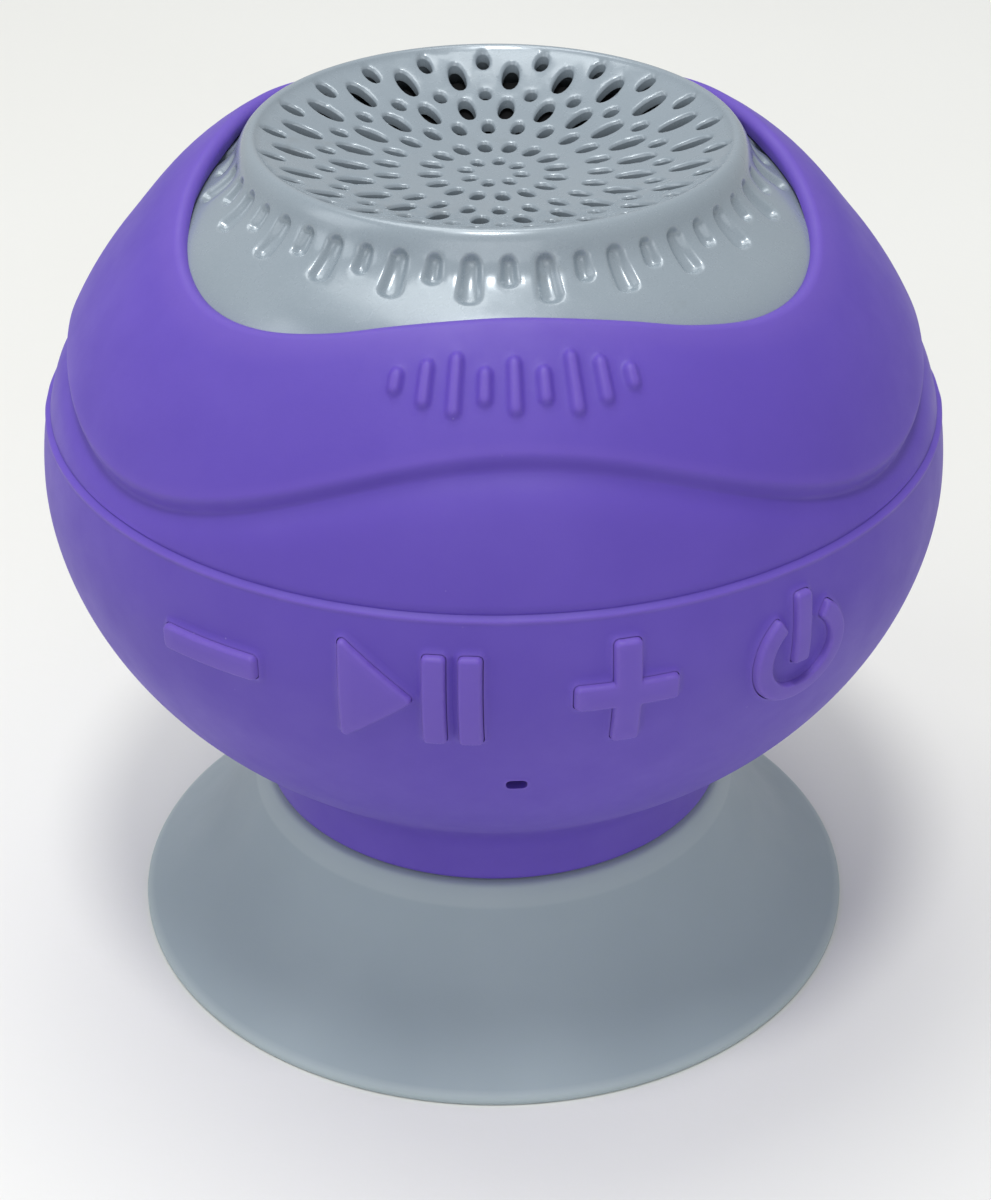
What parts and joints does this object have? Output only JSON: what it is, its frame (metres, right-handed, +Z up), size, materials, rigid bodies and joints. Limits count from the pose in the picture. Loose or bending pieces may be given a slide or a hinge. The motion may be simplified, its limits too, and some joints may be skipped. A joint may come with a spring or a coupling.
{
  "type": "shower speaker",
  "caption": "Round waterproof wireless speaker in a silicone skin, with a perforated dish grille on top, raised front keys and a suction-cup base.",
  "frame": {"origin": "centre of the plane the suction cup's rim lies on", "axes": "+Z up along the body's axis, out of the suction cup towards the grille; front with the keys towards -Y; +X to the right seen from the front"},
  "size_m": [0.0848, 0.0859, 0.0823],
  "materials": {
    "silicone_purple": "matte moulded silicone",
    "silicone_grey": "satin moulded silicone",
    "grille_grey": "satin silver-grey painted plastic",
    "black_plastic": "textured black ABS",
    "white_plastic": "natural nylon",
    "seal_red": "moulded silicone O-ring",
    "black_rubber": "soft black rubber",
    "steel_screw": "zinc-plated steel",
    "steel_plate": "zinc-plated steel",
    "basket_metal": "grey enamelled pressed steel",
    "ferrite": "sintered ferrite",
    "copper": "enamelled copper wire",
    "cone_paper": "pressed black paper",
    "spider_cloth": "resin-dipped cloth",
    "mesh_cloth": "black waterproof mesh",
    "board_green": "solder-masked fibreglass",
    "chip_black": "moulded epoxy",
    "shield_tin": "tinned steel",
    "connector_cream": "nylon",
    "pouch_silver": "laminated foil pouch",
    "foam_grey": "closed-cell foam",
    "lead_red": "PVC insulation",
    "lead_black": "PVC insulation"
  },
  "bodies": {
    "speaker": {"silicone_skin": "silicone_purple", "suction_cup": "silicone_grey", "grille": "grille_grey", "grille_cloth": "mesh_cloth", "lower_housing": "black_plastic", "upper_housing": "black_plastic", "battery_cradle": "black_plastic", "housing_seal": "seal_red", "cup_insert": "white_plastic", "cup_retainer": "white_plastic", "cup_screw": "steel_screw", "driver_gasket": "black_rubber", "driver_basket": "basket_metal", "top_plate": "steel_plate", "yoke": "steel_plate", "magnet": "ferrite", "surround": "black_rubber", "spider": "spider_cloth", "circuit_board": "board_green", "radio_module": "shield_tin", "amplifier_chip": "chip_black", "battery_connector": "connector_cream", "charging_socket": "shield_tin", "mic_boot": "black_rubber", "mic_capsule": "shield_tin", "battery_cell": "pouch_silver", "battery_foam": "foam_grey", "battery_lead_red": "lead_red", "battery_lead_black": "lead_black", "speaker_lead_red": "lead_red", "speaker_lead_black": "lead_black", "switch_case_minus": "chip_black", "switch_case_play_pause": "chip_black", "switch_case_plus": "chip_black", "switch_case_power": "chip_black", "housing_screw_1": "steel_screw", "driver_screw_1": "steel_screw", "housing_screw_2": "steel_screw", "driver_screw_2": "steel_screw", "housing_screw_3": "steel_screw", "driver_screw_3": "steel_screw", "housing_screw_4": "steel_screw", "driver_screw_4": "steel_screw", "board_screw_1": "steel_screw", "board_screw_2": "steel_screw", "board_screw_3": "steel_screw"},
    "key_minus": {"button_minus": "silicone_purple", "switch_plunger_minus": "connector_cream"},
    "key_play_pause": {"button_play_pause": "silicone_purple", "switch_plunger_play_pause": "connector_cream"},
    "key_plus": {"button_plus": "silicone_purple", "switch_plunger_plus": "connector_cream"},
    "key_power": {"button_power": "silicone_purple", "switch_plunger_power": "connector_cream"},
    "cone_assembly": {"cone": "cone_paper", "voice_coil": "copper", "dust_cap": "cone_paper"},
    "port_flap": {"port_cover": "silicone_purple"}
  },
  "joints": [
    {"name": "press_minus", "type": "slide", "parent": "speaker", "child": "key_minus", "axis": [0.6046, 0.7965, 0], "range_m": [0, 0.0005], "stiffness_N_per_m": 3000},
    {"name": "press_play_pause", "type": "slide", "parent": "speaker", "child": "key_play_pause", "axis": [0.2079, 0.9781, 0], "range_m": [0, 0.0005], "stiffness_N_per_m": 3000},
    {"name": "press_plus", "type": "slide", "parent": "speaker", "child": "key_plus", "axis": [-0.2147, 0.9767, 0], "range_m": [0, 0.0005], "stiffness_N_per_m": 3000},
    {"name": "press_power", "type": "slide", "parent": "speaker", "child": "key_power", "axis": [-0.5736, 0.8192, 0], "range_m": [0, 0.0005], "stiffness_N_per_m": 3000},
    {"name": "cone_travel", "type": "slide", "parent": "speaker", "child": "cone_assembly", "axis": [0, 0, 1], "range_m": [-0.001, 0.001], "stiffness_N_per_m": 1200, "deforming": ["surround", "spider"]},
    {"name": "port_cover_hinge", "type": "hinge", "parent": "speaker", "child": "port_flap", "pos_m": [0, 0.0418, 0.047], "axis": [-1, 0, 0], "range_deg": [0, 100], "stiffness_Nm_per_rad": 0.002}
  ]
}
